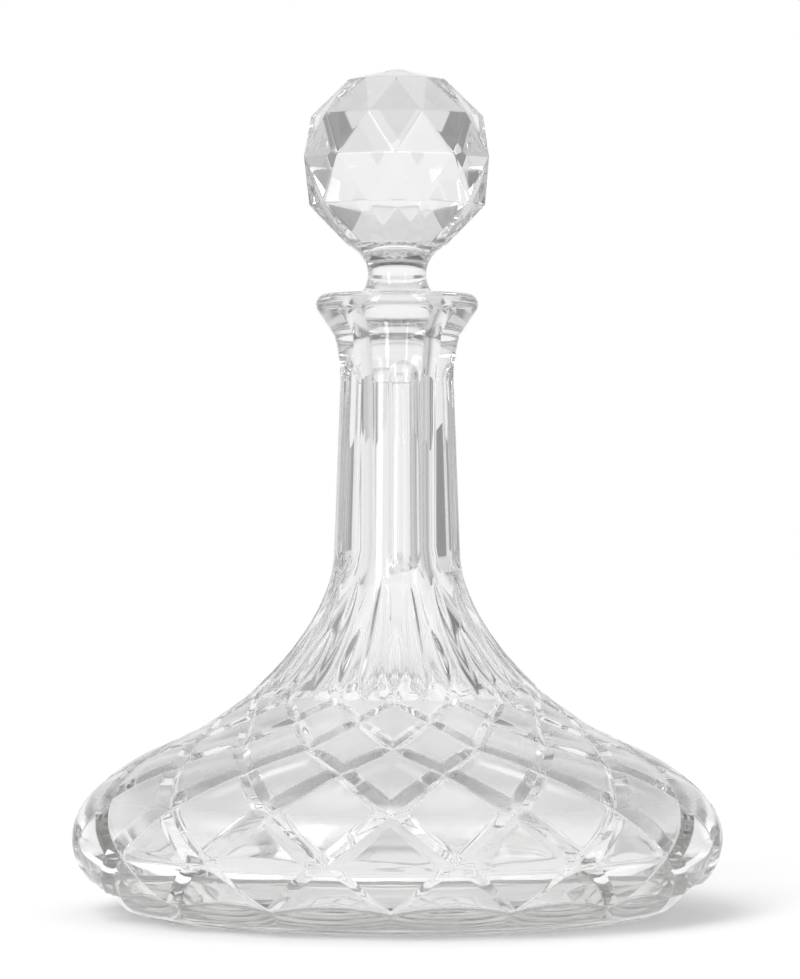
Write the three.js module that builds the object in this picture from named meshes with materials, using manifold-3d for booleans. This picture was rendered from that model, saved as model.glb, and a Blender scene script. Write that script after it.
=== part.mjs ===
// Ship's decanter in clear glass: a wide low body with a diamond-cut belly, petal flutes on
// the shoulder, a fluted neck with a rolled lip, and a solid stopper with a faceted ball.
// Millimetres, +Z up. The origin is the centre of the foot, and column 0 of the cut pattern
// faces -Y. Heights are measured from the surface that the foot stands on.

import * as THREE from 'three';
import { ConvexGeometry } from 'three/addons/geometries/ConvexGeometry.js';
import { mergeVertices } from 'three/addons/utils/BufferGeometryUtils.js';
import Module from 'manifold-3d';

const wasm = await Module();
wasm.setup();

// Foot and underside
const footRadius = 79.5;
const footHeight = 1.4;
const footRingWidth = 12;
const ledgeRise = 0.4;
const puntRise = 4;

// Outer side of the body, from the heel to the lip
const bodyRadius = 100.6;
const bellyHeight = 23.5;
const heelWidth = 22.6;
const heelClearance = 1;
const shoulderRadius = 65;
const shoulderHeight = 54.9;
const shoulderAngle = 24.2;
const bellyPull = 14;
const shoulderPull = 22;
const neckPull = 22;
const neckBaseRadius = 19.5;
const neckBaseHeight = 112;
const neckRadius = 17.6;
const collarRadius = 19.4;
const collarDrop = 13;
const neckTopDrop = 27;
const lipRadius = 25.1;
const lipRound = 3.4;
const lipUndercut = 45;
const vesselHeight = 191;

// Glass thickness, bore and mouth
const bellyWall = 7;
const shoulderWall = 6;
const floorThickness = 8;
const boreRadius = 8;
const seatFlare = 1.05;
const mouthFlare = 2.75;
const mouthRound = 1;
const mouthDepth = 13;

// Diamond lattice: rise of each row of crossings above the row below it
const columns = 16;
const latticeBottom = 6;
const rowRises = [15, 16.6, 11, 6.4, 6.8, 5];
const grooveWidth = 14;
const grooveDepth = 2;
const heelFacetDepth = 2;

// Petal flutes on the shoulder, with a short one on each column and a long one between two:
// rises above the lattice, drops below the foot of the neck, and width in columns
const petalDepth = 1.2;
const petalHalfWidth = 0.22;
const petalRidge = 0.25;
const shortPetalFootRise = 3.2;
const shortPetalMiddleRise = 12.2;
const shortPetalTipRise = 21.7;
const longPetalFootRise = 0.7;
const longPetalLowerRise = 10.2;
const longPetalUpperDrop = 22;
const longPetalTipDrop = 8;

// Flutes on the neck
const neckFlutes = 6;
const neckFluteWidth = 30;
const neckFluteDepth = 1.5;
const neckFluteTurn = 7.5;
const neckFluteRunout = 7;
const neckFluteArch = 6;

// Stopper: tapered plug, waist and faceted ball
const plugDepth = 28;
const plugClearance = 0.3;
const plugChamfer = 0.8;
const waistRadius = 9.1;
const waistRise = 6;
const filletPull = 5;
const flareRadius = 20;
const flareRise = 17;
const flareReach = 7.5;
const flareDrop = 2.5;
const ballSides = 10;
const ballBaseRise = 12;
const ballBaseRadius = 13.1;
const lowerRingRadius = 27.2;
const lowerRingRise = 15.3;
const girdleRadius = 30;
const girdleRise = 14.5;
const upperRingRadius = 26.6;
const upperRingRise = 13.2;
const crownRadius = 15.6;
const crownRise = 11;
const tableRadius = 2;
const tableRise = 3.3;

// Steps round each revolved form, and along its profile
const stepsPerHalfDiamond = 3;
const stepsPerColumn = 2 * stepsPerHalfDiamond;
const vesselSegments = columns * stepsPerColumn;
const hollowSegments = 36;
const stopperSegments = 40;
const curveSteps = 4;
const petalSteps = 9;
const fluteEndSteps = 2;
const collarSteps = 2;
const lipSteps = 4;
const deeperDiagonal = 0.1;

const degrees = THREE.MathUtils.degToRad;

// Heights that several forms share
const neckTopHeight = vesselHeight - neckTopDrop;
const collarHeight = vesselHeight - collarDrop;
const seatTop = vesselHeight - mouthDepth;
const plugBottom = vesselHeight - plugDepth;
const floorHeight = puntRise + floorThickness;
const latticeRows = rowRises.length;
const seatRadius = boreRadius + seatFlare;
const mouthRadius = seatRadius + mouthFlare;

// Solids: a closed geometry turned into a solid for cutting and joining, and back again

function solidFrom(geometry) {
  const bare = geometry.clone();
  for (const name of Object.keys(bare.attributes)) {
    if (name !== 'position') bare.deleteAttribute(name);
  }
  const merged = mergeVertices(bare);
  const index = merged.getIndex().array;
  const triangles = [];
  for (let i = 0; i < index.length; i += 3) {
    const [a, b, c] = index.slice(i, i + 3);
    if (a !== b && b !== c && c !== a) triangles.push(a, b, c);
  }
  return new wasm.Manifold(new wasm.Mesh({
    numProp: 3,
    vertProperties: new Float32Array(merged.getAttribute('position').array),
    triVerts: new Uint32Array(triangles),
  }));
}

function geometryFrom(solid) {
  const mesh = solid.getMesh();
  const geometry = new THREE.BufferGeometry();
  geometry.setAttribute('position', new THREE.BufferAttribute(new Float32Array(mesh.vertProperties), 3));
  geometry.setIndex(new THREE.BufferAttribute(new Uint32Array(mesh.triVerts), 1));
  const faceted = geometry.toNonIndexed();
  faceted.computeVertexNormals();
  return faceted;
}

// A revolved form about +Z from a profile of (radius, height) points that ends on the axis
function revolve(profile, segments) {
  return new THREE.LatheGeometry(profile, segments).rotateX(Math.PI / 2);
}

// Outer side of the vessel: foot, heel, belly, shoulder, neck, collar and rolled lip

function shoulderPoint() {
  return new THREE.Vector2(shoulderRadius, shoulderHeight);
}

function shoulderDirection() {
  const angle = degrees(shoulderAngle);
  return new THREE.Vector2(-Math.cos(angle), Math.sin(angle));
}

function bendTo(path, control1, control2, end) {
  path.bezierCurveTo(control1.x, control1.y, control2.x, control2.y, end.x, end.y);
}

// Belly and shoulder as two curves that meet at the shoulder point on one slope
function addBodyCurves(path, start, shoulder, neckBase) {
  const slope = shoulderDirection();
  bendTo(
    path,
    new THREE.Vector2(start.x, start.y + bellyPull),
    shoulder.clone().addScaledVector(slope, -shoulderPull),
    shoulder,
  );
  bendTo(
    path,
    shoulder.clone().addScaledVector(slope, shoulderPull),
    new THREE.Vector2(neckBase.x, neckBase.y - neckPull),
    neckBase,
  );
}

function vesselSide() {
  const side = new THREE.Path();
  side.moveTo(footRadius, 0);
  side.lineTo(footRadius, footHeight);
  const heelDepth = bellyHeight - heelClearance;
  const heelStart = -Math.asin((bellyHeight - footHeight - ledgeRise) / heelDepth);
  side.absellipse(bodyRadius - heelWidth, bellyHeight, heelWidth, heelDepth, heelStart, 0);
  const belly = new THREE.Vector2(bodyRadius, bellyHeight);
  addBodyCurves(side, belly, shoulderPoint(), new THREE.Vector2(neckBaseRadius, neckBaseHeight));
  side.lineTo(neckRadius, neckTopHeight);
  const collarMiddle = (neckTopHeight + collarHeight) / 2;
  side.quadraticCurveTo(neckRadius, collarMiddle, collarRadius, collarHeight);
  const undercut = -degrees(lipUndercut);
  side.absarc(lipRadius - lipRound, vesselHeight - lipRound, lipRound, undercut, Math.PI / 2);
  return side;
}

const side = vesselSide();

// Point and outward normal of the side at a height; the side climbs all the way
function sideAt(height) {
  let low = 0;
  let high = 1;
  for (let step = 0; step < 40; step += 1) {
    const middle = (low + high) / 2;
    if (side.getPoint(middle).y < height) low = middle;
    else high = middle;
  }
  const tangent = side.getTangent(high);
  return { point: side.getPoint(high), normal: new THREE.Vector2(tangent.y, -tangent.x) };
}

// Rings of the vessel's grid, from foot to lip. A ring in the lattice also has its row,
// counted from the lowest crossings, so that each groove runs through grid points.

const rowHeights = rowRises.reduce(
  (heights, rise) => [...heights, heights.at(-1) + rise],
  [latticeBottom],
);
const rowCurve = new THREE.SplineCurve(rowHeights.map((height, row) => new THREE.Vector2(row, height)));
const latticeTop = rowHeights.at(-1);

// A petal is pointed at its foot and its tip, and has its full width from lower to upper
const shortPetal = {
  foot: latticeTop + shortPetalFootRise,
  lower: latticeTop + shortPetalMiddleRise,
  upper: latticeTop + shortPetalMiddleRise,
  tip: latticeTop + shortPetalTipRise,
};
const longPetal = {
  foot: latticeTop + longPetalFootRise,
  lower: latticeTop + longPetalLowerRise,
  upper: neckBaseHeight - longPetalUpperDrop,
  tip: neckBaseHeight - longPetalTipDrop,
};

const fluteFoot = neckBaseHeight - neckFluteRunout;
const fluteHead = neckTopHeight + neckFluteArch;

function evenHeights(from, to, count) {
  return Array.from({ length: count }, (unused, i) => from + ((to - from) * (i + 1)) / count);
}

// Heights that crowd towards the end of a round-ended flute, as points on a quarter circle do
function roundEndHeights(from, to, count) {
  return Array.from({ length: count }, (unused, i) => (
    from + (to - from) * Math.sin(((i + 1) * Math.PI) / (2 * count))
  ));
}

function latticeRings() {
  const count = latticeRows * stepsPerHalfDiamond;
  return Array.from({ length: count + 1 }, (unused, i) => {
    const row = i / stepsPerHalfDiamond;
    return { height: rowCurve.getPoint(row / latticeRows).y, row };
  });
}

function petalRings() {
  const heights = evenHeights(longPetal.foot, longPetal.tip, petalSteps);
  return heights.map((height) => ({ height, ridged: height < longPetal.tip }));
}

function lipHeights() {
  return Array.from({ length: lipSteps }, (unused, i) => {
    const angle = degrees(-lipUndercut + ((90 + lipUndercut) * i) / lipSteps);
    return vesselHeight - lipRound + lipRound * Math.sin(angle);
  });
}

function vesselRings() {
  const ledge = footHeight + ledgeRise;
  const heights = [
    ...roundEndHeights(neckBaseHeight, fluteFoot, fluteEndSteps).reverse(),
    neckBaseHeight,
    neckTopHeight,
    ...roundEndHeights(neckTopHeight, fluteHead, fluteEndSteps),
    ...evenHeights(fluteHead, collarHeight, collarSteps),
    ...lipHeights(),
    vesselHeight,
  ];
  return [
    { height: 0 },
    { height: footHeight },
    { height: ledge },
    ...latticeRings(),
    ...petalRings(),
    ...heights.map((height) => ({ height })),
  ];
}

// Column of a step round the grid, counted from the column that faces -Y. Steps are even, and
// on the petals they are drawn to the ridges between them.
function columnAt(step, ring) {
  const within = step % stepsPerColumn;
  const whole = (step - within) / stepsPerColumn;
  if (!ring.ridged || within === 0) return whole + within / stepsPerColumn;
  const pitch = (1 - 2 * petalRidge) / (stepsPerColumn - 2);
  return whole + petalRidge + (within - 1) * pitch;
}

// Cut depths below the smooth side, in terms of columns and rows of the lattice, so that a groove
// of either family is a line where column +- row / 2 is whole.

function awayFromWhole(value) {
  return Math.abs(value - Math.round(value));
}

// Heel below the lowest zigzag of grooves: as deep as they are, and flattened between two tips
function heelCut(column, row, radius) {
  const fromMiddle = 2 * awayFromWhole(column + 0.5);
  const below = 1 - row;
  if (fromMiddle > below) return 0;
  const facet = heelFacetDepth * (below * below - fromMiddle * fromMiddle);
  return (grooveDepth + facet) * (radius / bodyRadius);
}

function latticeDepth(column, ring, radius) {
  if (ring.row === undefined) return 0;
  const heel = heelCut(column, ring.row, radius);
  if (heel > 0) return heel;
  const spacing = ((2 * Math.PI * bodyRadius) / columns) * Math.SQRT1_2;
  const away = Math.min(awayFromWhole(column + ring.row / 2), awayFromWhole(column - ring.row / 2));
  const share = Math.min(1, (away * spacing) / (grooveWidth / 2));
  return grooveDepth * (radius / bodyRadius) * 0.5 * (1 + Math.cos(Math.PI * share));
}

// Half width of a petal in columns at a height
function petalHalfWidthAt(petal, height) {
  const below = Math.max(0, petal.lower - height) / (petal.lower - petal.foot);
  const above = Math.max(0, height - petal.upper) / (petal.tip - petal.upper);
  const past = Math.max(below, above);
  return petalHalfWidth * Math.max(0, 1 - past * past);
}

// Share of its full depth that a petal has: a parabola across it, shallower as it narrows
function petalHollow(petal, height, offset) {
  const halfWidth = petalHalfWidthAt(petal, height);
  if (offset >= halfWidth) return 0;
  return (halfWidth - (offset * offset) / halfWidth) / petalHalfWidth;
}

function petalCut(column, ring, radius) {
  const short = petalHollow(shortPetal, ring.height, awayFromWhole(column));
  const long = petalHollow(longPetal, ring.height, awayFromWhole(column + 0.5));
  return petalDepth * (radius / sideAt(latticeTop).point.x) * (short + long);
}

// Share of its full width that a neck flute has at a height, with round ends
function fluteShare(height) {
  if (height <= fluteFoot || height >= fluteHead) return 0;
  const below = Math.max(0, neckBaseHeight - height) / neckFluteRunout;
  const above = Math.max(0, height - neckTopHeight) / neckFluteArch;
  const past = Math.max(below, above);
  return Math.sqrt(1 - past * past);
}

function neckFluteCut(column, ring) {
  const share = fluteShare(ring.height);
  const turn = (column * 360) / columns - neckFluteTurn;
  const pitch = 360 / neckFlutes;
  const offset = (awayFromWhole(turn / pitch) * pitch) / (neckFluteWidth / 2);
  return neckFluteDepth * Math.max(0, share * share - offset * offset);
}

// The revolved vessel with every cut pressed into its grid. Each grid square is split along
// the diagonal that stays at one depth, the deeper one where both do, so grooves run clean.
function cutVessel() {
  const rings = vesselRings();
  const stations = rings.map((ring) => sideAt(ring.height));
  const floor = new THREE.Vector2(0, 0);
  const top = new THREE.Vector2(0, vesselHeight);
  const profile = [floor, ...stations.map((station) => station.point), top];
  const lathe = new THREE.LatheGeometry(profile, vesselSegments);
  const position = lathe.getAttribute('position');
  const depths = new Float32Array(position.count);
  for (let i = 0; i <= vesselSegments; i += 1) {
    rings.forEach((ring, j) => {
      const column = columnAt(i, ring);
      const turn = (2 * Math.PI * column) / columns;
      const { point, normal } = stations[j];
      const depth = latticeDepth(column, ring, point.x) + petalCut(column, ring, point.x)
        + neckFluteCut(column, ring);
      const vertex = i * profile.length + j + 1;
      const radius = point.x - depth * normal.x;
      depths[vertex] = depth;
      position.setXYZ(
        vertex,
        radius * Math.sin(turn),
        point.y - depth * normal.y,
        radius * Math.cos(turn),
      );
    });
  }
  lathe.setIndex(gridTriangles(profile.length, depths));
  return lathe.rotateX(Math.PI / 2);
}

function gridTriangles(rows, depths) {
  const triangles = [];
  const cost = (a, b) => Math.abs(depths[a] - depths[b]) - deeperDiagonal * (depths[a] + depths[b]);
  for (let i = 0; i < vesselSegments; i += 1) {
    for (let j = 0; j < rows - 1; j += 1) {
      const a = i * rows + j;
      const b = a + rows;
      const c = b + 1;
      const d = a + 1;
      if (cost(a, c) < cost(b, d)) triangles.push(a, b, c, a, c, d);
      else triangles.push(a, b, d, b, c, d);
    }
  }
  return triangles;
}

// Hollow: floor, heel, belly, shoulder, bore, ground seat and mouth, open at the top

function seatTaper(height, clearance) {
  const climb = (height - plugBottom) / (seatTop - plugBottom);
  return new THREE.Vector2(boreRadius + seatFlare * climb - clearance, height);
}

// Funnel from the top of the seat to the edge of the mouth, or the stopper's shoulder in it
function addFunnel(path, clearance) {
  const bottom = seatTop;
  const top = vesselHeight - mouthRound;
  const middle = (bottom + top) / 2;
  path.quadraticCurveTo(
    seatRadius - clearance,
    middle,
    mouthRadius - clearance,
    top,
  );
}

function hollowProfile() {
  const path = new THREE.Path();
  const slope = shoulderDirection();
  const inward = new THREE.Vector2(-slope.y, slope.x);
  const shoulder = shoulderPoint().addScaledVector(inward, shoulderWall);
  const hollowRadius = bodyRadius - bellyWall;
  path.moveTo(0, floorHeight);
  path.lineTo(hollowRadius - heelWidth, floorHeight);
  path.absellipse(
    hollowRadius - heelWidth,
    bellyHeight,
    heelWidth,
    bellyHeight - floorHeight,
    -Math.PI / 2,
    0,
  );
  const belly = new THREE.Vector2(hollowRadius, bellyHeight);
  addBodyCurves(path, belly, shoulder, new THREE.Vector2(boreRadius, neckBaseHeight));
  path.lineTo(boreRadius, plugBottom);
  path.lineTo(seatRadius, seatTop);
  addFunnel(path, 0);
  path.lineTo(mouthRadius + mouthRound, vesselHeight);
  path.lineTo(mouthRadius + mouthRound, vesselHeight + mouthRound);
  path.lineTo(0, vesselHeight + mouthRound);
  return path.getPoints(curveSteps);
}

// Shallow dome under the floor, inside the standing ring
function puntProfile() {
  const radius = footRadius - footRingWidth;
  const below = -puntRise;
  const dome = new THREE.Path();
  dome.moveTo(0, below);
  dome.lineTo(radius, below);
  dome.lineTo(radius, 0);
  dome.quadraticCurveTo(radius / 2, puntRise, 0, puntRise);
  return dome.getPoints(curveSteps);
}

function vesselGeometry() {
  const hollow = solidFrom(revolve(hollowProfile(), hollowSegments));
  const punt = solidFrom(revolve(puntProfile(), hollowSegments));
  return geometryFrom(solidFrom(cutVessel()).subtract(hollow).subtract(punt));
}

// Stopper: a turned blank whose head is cut to the facets of the ball

const ballBase = vesselHeight + ballBaseRise;
const lowerRing = ballBase + lowerRingRise;
const girdle = lowerRing + girdleRise;
const upperRing = girdle + upperRingRise;
const crown = upperRing + crownRise;
const table = crown + tableRise;

function ringPoints(radius, height, turn) {
  return Array.from({ length: ballSides }, (unused, i) => {
    const angle = (2 * Math.PI * (i + turn)) / ballSides;
    return new THREE.Vector3(radius * Math.sin(angle), -radius * Math.cos(angle), height);
  });
}

// Ball with belts of triangular facets: each ring of corners is half a side on from the next
function ballGeometry() {
  return new ConvexGeometry([
    ...ringPoints(ballBaseRadius, ballBase, 0),
    ...ringPoints(lowerRingRadius, lowerRing, 0.5),
    ...ringPoints(girdleRadius, girdle, 0),
    ...ringPoints(upperRingRadius, upperRing, 0.5),
    ...ringPoints(crownRadius, crown, 0),
    ...ringPoints(tableRadius, table, 0),
  ]);
}

// Plug, shoulder, waist and flare in one turned profile, closed round the ball that it will be
function blankProfile() {
  const foot = seatTaper(plugBottom, plugClearance);
  const seat = seatTaper(seatTop, plugClearance);
  const waist = vesselHeight + waistRise;
  const flare = vesselHeight + flareRise;
  const path = new THREE.Path();
  path.moveTo(0, plugBottom);
  path.lineTo(foot.x - plugChamfer, plugBottom);
  path.lineTo(seatTaper(plugBottom + plugChamfer, plugClearance).x, plugBottom + plugChamfer);
  path.lineTo(seat.x, seat.y);
  addFunnel(path, plugClearance);
  path.bezierCurveTo(
    (mouthRadius + waistRadius) / 2 - plugClearance,
    vesselHeight + waistRise / 4,
    waistRadius,
    vesselHeight + waistRise / 2,
    waistRadius,
    waist,
  );
  path.bezierCurveTo(
    waistRadius,
    waist + filletPull,
    flareRadius - flareReach,
    flare - flareDrop,
    flareRadius,
    flare,
  );
  path.lineTo(girdleRadius + flareReach, flare);
  path.lineTo(girdleRadius + flareReach, table + tableRise);
  path.lineTo(0, table + tableRise);
  return path.getPoints(curveSteps);
}

// Room below the ball's base, where the blank stays round
function stemRoomProfile() {
  const below = plugBottom - plugChamfer;
  return [
    new THREE.Vector2(0, below),
    new THREE.Vector2(girdleRadius, below),
    new THREE.Vector2(girdleRadius, ballBase),
    new THREE.Vector2(0, ballBase),
  ];
}

function stopperGeometry() {
  const blank = solidFrom(revolve(blankProfile(), stopperSegments));
  const stemRoom = solidFrom(revolve(stemRoomProfile(), stopperSegments));
  const cut = solidFrom(ballGeometry()).add(stemRoom);
  return geometryFrom(blank.intersect(cut));
}

// Assembly

const clearGlass = new THREE.MeshStandardMaterial({
  color: '#eef2f1',
  roughness: 0.03,
  metalness: 0,
  transparent: true,
  opacity: 0.35,
});

function piece(name, geometry) {
  const mesh = new THREE.Mesh(geometry, clearGlass.clone());
  mesh.name = name;
  return mesh;
}

const decanter = new THREE.Group();
decanter.name = 'ship_decanter';
decanter.add(piece('vessel', vesselGeometry()));
decanter.add(piece('stopper', stopperGeometry()));

export default decanter;
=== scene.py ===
"""Looks of a clear glass ship's decanter with a faceted ball stopper, around its fixed CAD frame.

Shapes are worked out in millimetres, as arrays over a grid of two parameters, and put into the
meshes in metres. Column 0 of the cut pattern faces -Y and columns count towards +X.
"""

import logging
import math
from dataclasses import dataclass
from enum import Enum

import bpy
import numpy as np
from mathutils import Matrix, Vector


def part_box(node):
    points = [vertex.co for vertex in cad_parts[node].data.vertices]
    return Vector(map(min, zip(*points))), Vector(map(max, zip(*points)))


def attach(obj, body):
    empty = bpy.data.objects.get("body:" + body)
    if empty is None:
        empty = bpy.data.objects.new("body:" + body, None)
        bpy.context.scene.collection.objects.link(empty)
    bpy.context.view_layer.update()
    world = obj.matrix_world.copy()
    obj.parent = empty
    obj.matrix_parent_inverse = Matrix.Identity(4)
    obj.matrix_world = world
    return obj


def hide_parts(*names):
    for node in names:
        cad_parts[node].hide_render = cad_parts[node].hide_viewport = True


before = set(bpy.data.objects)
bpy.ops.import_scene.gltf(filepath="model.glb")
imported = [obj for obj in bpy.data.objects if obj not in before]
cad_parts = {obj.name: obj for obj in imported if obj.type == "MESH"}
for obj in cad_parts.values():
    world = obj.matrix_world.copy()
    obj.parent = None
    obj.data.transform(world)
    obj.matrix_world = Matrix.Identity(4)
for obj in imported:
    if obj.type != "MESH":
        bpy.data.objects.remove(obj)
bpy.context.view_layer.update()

log = logging.getLogger("decanter")

METRES_PER_MM = 0.001
IMAGE_WIDTH = 800
IMAGE_HEIGHT = 979
MATT = "matt"

Array = np.ndarray
Pair = tuple[float, float]
Stops = tuple[Pair, ...]
Colour = tuple[float, float, float]
Socket = bpy.types.NodeSocket


class RayKind(Enum):
    """Kinds of ray that see the studio differently, by the Light Path output that tells them apart."""

    CAMERA = "Is Camera Ray"
    GLOSSY = "Is Glossy Ray"
    TRANSMISSION = "Is Transmission Ray"


class Shading(Enum):
    """How a finished surface is shaded across its edges, by the angle that stays sharp."""

    MOULDED = 60.0
    CUT = 180.0


# Plane curves, as rows of (radius, height)


def line(start: Pair, end: Pair, steps: int = 1) -> Array:
    """Straight run of points, the start left out: start plus even shares of the way to the end."""
    share = np.linspace(0.0, 1.0, steps + 1)[1:, None]
    return np.array(start) + share * (np.array(end) - np.array(start))


def bend(control: list[Pair], steps: int) -> Array:
    """Bezier curve of any degree, by repeated mixing of neighbouring control points.

    Args:
        control: Control points, ends included.
        steps: Number of points after the first, which is left out.

    Returns:
        Points of shape (steps, 2).
    """
    share = np.linspace(0.0, 1.0, steps + 1)[1:, None, None]
    points = np.broadcast_to(np.array(control, float), (steps, len(control), 2))
    while points.shape[1] > 1:
        points = points[:, :-1] * (1.0 - share) + points[:, 1:] * share
    return points[:, 0]


def arc(centre: Pair, radii: Pair, start: float, end: float, steps: int) -> Array:
    """Part of an ellipse: centre plus each radius times the cosine or sine of an even angle.

    Args:
        centre: Centre of the ellipse.
        radii: Half width and half height.
        start: First angle in degrees, left out of the result.
        end: Last angle in degrees.
        steps: Number of points.

    Returns:
        Points of shape (steps, 2).
    """
    angle = np.radians(np.linspace(start, end, steps + 1)[1:])
    return np.stack([centre[0] + radii[0] * np.cos(angle), centre[1] + radii[1] * np.sin(angle)], axis=1)


def round_end(start: float, end: float, steps: int) -> Array:
    """Heights after the start that crowd towards the end: shares of the way by the sine of even angles."""
    return start + (end - start) * np.sin(np.linspace(0.0, np.pi / 2, steps + 1)[1:])


def away_from_whole(value: Array) -> Array:
    """Distance of each value from the nearest whole number."""
    return np.abs(value - np.round(value))


def soft_least(first: Array, second: Array, blur: float) -> Array:
    """Lesser of two values, rounded over a blur where they cross: minus the log of summed exponentials."""
    least = np.minimum(first, second)
    apart = np.abs(first - second)
    return least - blur * np.log1p(np.exp(-apart / blur))


# Surfaces


@dataclass
class TurnedGrid:
    """Closed surface on a grid whose columns run round the axis and whose rows start and end on it.

    Attributes:
        points: Grid of places in millimetres, of shape (rows, columns, 3).
        matt: Share of the matt finish at each place, of shape (rows, columns).
    """

    points: Array
    matt: Array

    def triangles(self) -> Array:
        """Corner numbers, turning outwards, of the two triangles that each grid square is split into."""
        rows, columns = self.points.shape[:2]
        number = np.arange(rows * columns).reshape(rows, columns)
        beside = np.roll(number, -1, axis=1)
        first = np.stack([number[:-1], beside[:-1], beside[1:]], axis=-1)
        second = np.stack([number[:-1], beside[1:], number[1:]], axis=-1)
        return np.concatenate([first.reshape(-1, 3), second.reshape(-1, 3)])

    def mesh(self, name: str, shading: Shading) -> bpy.types.Mesh:
        """Welds grid points that fall together, drops the empty triangles there and makes the mesh.

        Args:
            name: Name of the mesh.
            shading: How its edges are shaded.

        Returns:
            The mesh, in metres.
        """
        weld = 1e-4
        places = self.points.reshape(-1, 3)
        _, kept, number = np.unique(np.round(places / weld), axis=0, return_index=True, return_inverse=True)
        corners = number.reshape(-1)[self.triangles()]
        a, b, c = corners.T
        corners = corners[(a != b) & (b != c) & (c != a)]
        mesh = bpy.data.meshes.new(name)
        mesh.from_pydata((places[kept] * METRES_PER_MM).tolist(), [], corners.tolist())
        matt = self.matt.reshape(-1)[kept].astype(np.float32)
        mesh.attributes.new(MATT, "FLOAT", "POINT").data.foreach_set("value", matt)
        mesh.shade_smooth()
        mesh.set_sharp_from_angle(angle=math.radians(shading.value))
        mesh.update()
        return mesh


def turn_round(radius: Array, height: Array, turn: Array) -> Array:
    """Places by turn from -Y towards +X: x is radius times sine, y minus radius times cosine, z height."""
    radius, height, turn = np.broadcast_arrays(radius, height, turn)
    return np.stack([radius * np.sin(turn), -radius * np.cos(turn), height], axis=-1)


# Finishes


@dataclass(frozen=True)
class ShaderNodes:
    """Nodes of a material or world, with the sums that the finishes and the studio share.

    Attributes:
        tree: Node tree that the nodes are added to.
    """

    tree: bpy.types.NodeTree

    @classmethod
    def of(cls, owner: bpy.types.Material | bpy.types.World) -> "ShaderNodes":
        """Gives a material or world an empty node tree."""
        owner.use_nodes = True
        owner.node_tree.nodes.clear()
        return cls(owner.node_tree)

    def add(self, kind: str, **inputs: object) -> bpy.types.Node:
        """Adds a node and sets its sockets: a plain value is set, another node's socket is linked.

        Args:
            kind: Blender's name of the node, after ShaderNode.
            inputs: Values by socket name, with _ for a space, or by number after the letter n.

        Returns:
            The node.
        """
        node = self.tree.nodes.new("ShaderNode" + kind)
        for key, value in inputs.items():
            numbered = key[0] == "n" and key[1:].isdigit()
            socket = node.inputs[int(key[1:])] if numbered else node.inputs[key.replace("_", " ")]
            if isinstance(value, Socket):
                self.tree.links.new(value, socket)
            else:
                socket.default_value = value
        return node

    def calculate(self, operation: str, *values: object) -> Socket:
        """Adds a Math node that works on numbers or sockets, and gives the result's socket."""
        node = self.add("Math", **{f"n{i}": value for i, value in enumerate(values)})
        node.operation = operation
        return node.outputs[0]

    def any_ray(self, *kinds: RayKind) -> Socket:
        """One for a ray of any of the kinds, else nothing: the greatest of Light Path's outputs."""
        path = self.add("LightPath")
        greatest = path.outputs[kinds[0].value]
        for kind in kinds[1:]:
            greatest = self.calculate("MAXIMUM", greatest, path.outputs[kind.value])
        return greatest

    def bearing(self, way: Socket) -> Socket:
        """Bearing of a place or direction in degrees, from +Y towards +X."""
        axes = self.add("SeparateXYZ", Vector=way).outputs
        return self.calculate("DEGREES", self.calculate("ARCTAN2", axes["X"], axes["Y"]))

    def window(self, off: Socket, half: float, blur: float) -> Socket:
        """One within half a width of the middle and nothing past it, with a blurred edge."""
        node = self.add("MapRange", Value=self.calculate("ABSOLUTE", off), From_Min=half - blur / 2,
                        From_Max=half + blur / 2, To_Min=1.0, To_Max=0.0)
        node.interpolation_type = "SMOOTHSTEP"
        return node.outputs["Result"]

    def ramp(self, value: Socket, stops: Stops) -> Socket:
        """A strength that follows a value smoothly through a few stops.

        Args:
            value: The value to follow.
            stops: Value and strength of each stop, in rising order.

        Returns:
            The strength's socket.
        """
        low, high = stops[0][0], stops[-1][0]
        share = self.add("MapRange", Value=value, From_Min=low, From_Max=high)
        node = self.add("ValToRGB", Fac=share.outputs["Result"])
        node.color_ramp.interpolation = "EASE"
        elements = node.color_ramp.elements
        while len(elements) < len(stops):
            elements.new(1.0)
        for element, (place, strength) in zip(elements, stops):
            element.position = (place - low) / (high - low)
            element.color = (strength, strength, strength, 1.0)
        return node.outputs["Color"]


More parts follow.
